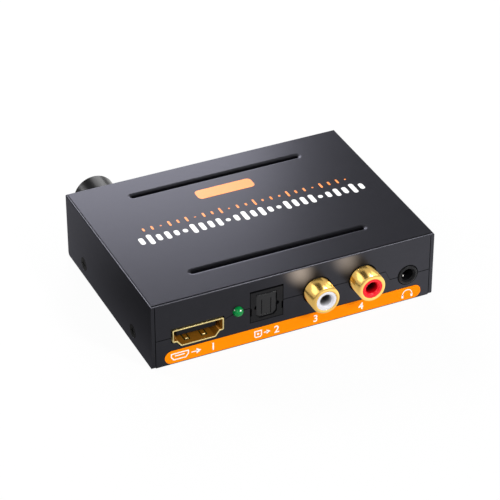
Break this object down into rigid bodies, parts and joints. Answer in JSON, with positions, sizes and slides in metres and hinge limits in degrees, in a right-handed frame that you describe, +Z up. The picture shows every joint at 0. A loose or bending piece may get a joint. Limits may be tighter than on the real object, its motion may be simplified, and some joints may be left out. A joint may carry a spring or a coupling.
{
  "type": "hdmi audio extractor",
  "caption": "Small metal box that takes the sound out of a digital video signal, with optical, phono and headphone outputs on one face and a volume knob at the rear.",
  "frame": {"origin": "middle of the case's footprint, on the flat underside that it stands on", "axes": "+Z up; -Y out of the face with the sockets, +Y out of the rear face with the volume knob; +X to the right as seen from the socket face"},
  "size_m": [0.085, 0.079, 0.0205],
  "materials": {
    "cover_paint": "satin dark grey powder coat with a slight sheen",
    "chassis_paint": "satin dark grey powder coat",
    "black_screw": "black oxide finish",
    "label_orange": "printed orange label film",
    "label_figures": "white print",
    "fish_paper": "stiff insulating paper",
    "brass_plain": "turned brass",
    "nickel": "nickel-plated steel",
    "board_green": "solder mask over glass-fibre laminate",
    "shell_gold": "pale gold flash",
    "collar_gold": "bright gold plating",
    "contact_gold": "gold plating",
    "plastic_black": "moulded black plastic, slightly satin",
    "shutter_black": "moulded black plastic",
    "emitter_tint": "dark red tinted resin",
    "lamp_green": "tinted clear resin",
    "insulator_white": "moulded white plastic",
    "insulator_red": "moulded red plastic",
    "phenolic_brown": "phenolic board",
    "zinc_cast": "die-cast zinc",
    "knob_black": "black anodised aluminium, turned",
    "pointer_white": "white inlay",
    "chip_black": "moulded epoxy with tinned legs",
    "sink_black": "black anodised extrusion",
    "can_silver": "plain drawn can",
    "ferrite_grey": "moulded ferrite",
    "ceramic_tan": "ceramic with tinned ends",
    "resistor_black": "glazed film with tinned ends"
  },
  "bodies": {
    "root": {"top_cover": "cover_paint", "bottom_chassis": "chassis_paint", "case_screws": "black_screw", "port_label": "label_orange", "rear_label": "label_orange", "insulating_sheet": "fish_paper", "board_standoffs": "brass_plain", "board_screws": "nickel", "main_board": "board_green", "video_out_shell": "shell_gold", "video_out_tongue": "plastic_black", "video_out_contacts": "contact_gold", "video_in_shell": "shell_gold", "video_in_tongue": "plastic_black", "video_in_contacts": "contact_gold", "status_lamp": "lamp_green", "lamp_leads": "nickel", "optical_housing": "plastic_black", "shutter_pin": "nickel", "optical_emitter": "emitter_tint", "phono_block": "plastic_black", "phono_left_collar": "collar_gold", "phono_right_collar": "collar_gold", "phono_left_insulator": "insulator_white", "phono_right_insulator": "insulator_red", "phono_left_contact": "contact_gold", "phono_right_contact": "contact_gold", "headphone_body": "plastic_black", "headphone_contacts": "nickel", "inlet_body": "plastic_black", "inlet_pin": "nickel", "inlet_spring": "nickel", "switch_frame": "nickel", "switch_base": "phenolic_brown", "pot_case": "plastic_black", "pot_bushing": "zinc_cast", "panel_washer": "nickel", "panel_nut": "nickel", "extractor_chip": "chip_black", "chip_heatsink": "sink_black", "converter_chip": "chip_black", "amplifier_chip": "chip_black", "controller_chip": "chip_black", "crystal_can": "nickel", "capacitor_cans": "can_silver", "capacitor_bases": "plastic_black", "power_inductors": "ferrite_grey", "voltage_regulator": "chip_black", "ceramic_capacitors": "ceramic_tan", "chip_resistors": "resistor_black"},
    "volume": {"volume_shaft": "zinc_cast", "pot_wiper": "phenolic_brown", "volume_knob": "knob_black", "knob_pointer": "pointer_white"},
    "shutter": {"optical_shutter": "shutter_black"},
    "lever": {"switch_lever": "shutter_black"}
  },
  "joints": [
    {"name": "volume_turn", "type": "hinge", "parent": "root", "child": "volume", "pos_m": [-0.0298, 0.0308, 0.0107], "axis": [0, 1, 0], "range_deg": [-150, 150]},
    {"name": "shutter_flap", "type": "hinge", "parent": "root", "child": "shutter", "pos_m": [-0.00867, -0.03005, 0.01476], "axis": [1, 0, 0], "range_deg": [0, 80], "stiffness_Nm_per_rad": 0.0002, "springref_deg": -17.19},
    {"name": "mode_slide", "type": "slide", "parent": "root", "child": "lever", "axis": [1, 0, 0], "range_m": [-0.002, 0.002]}
  ]
}
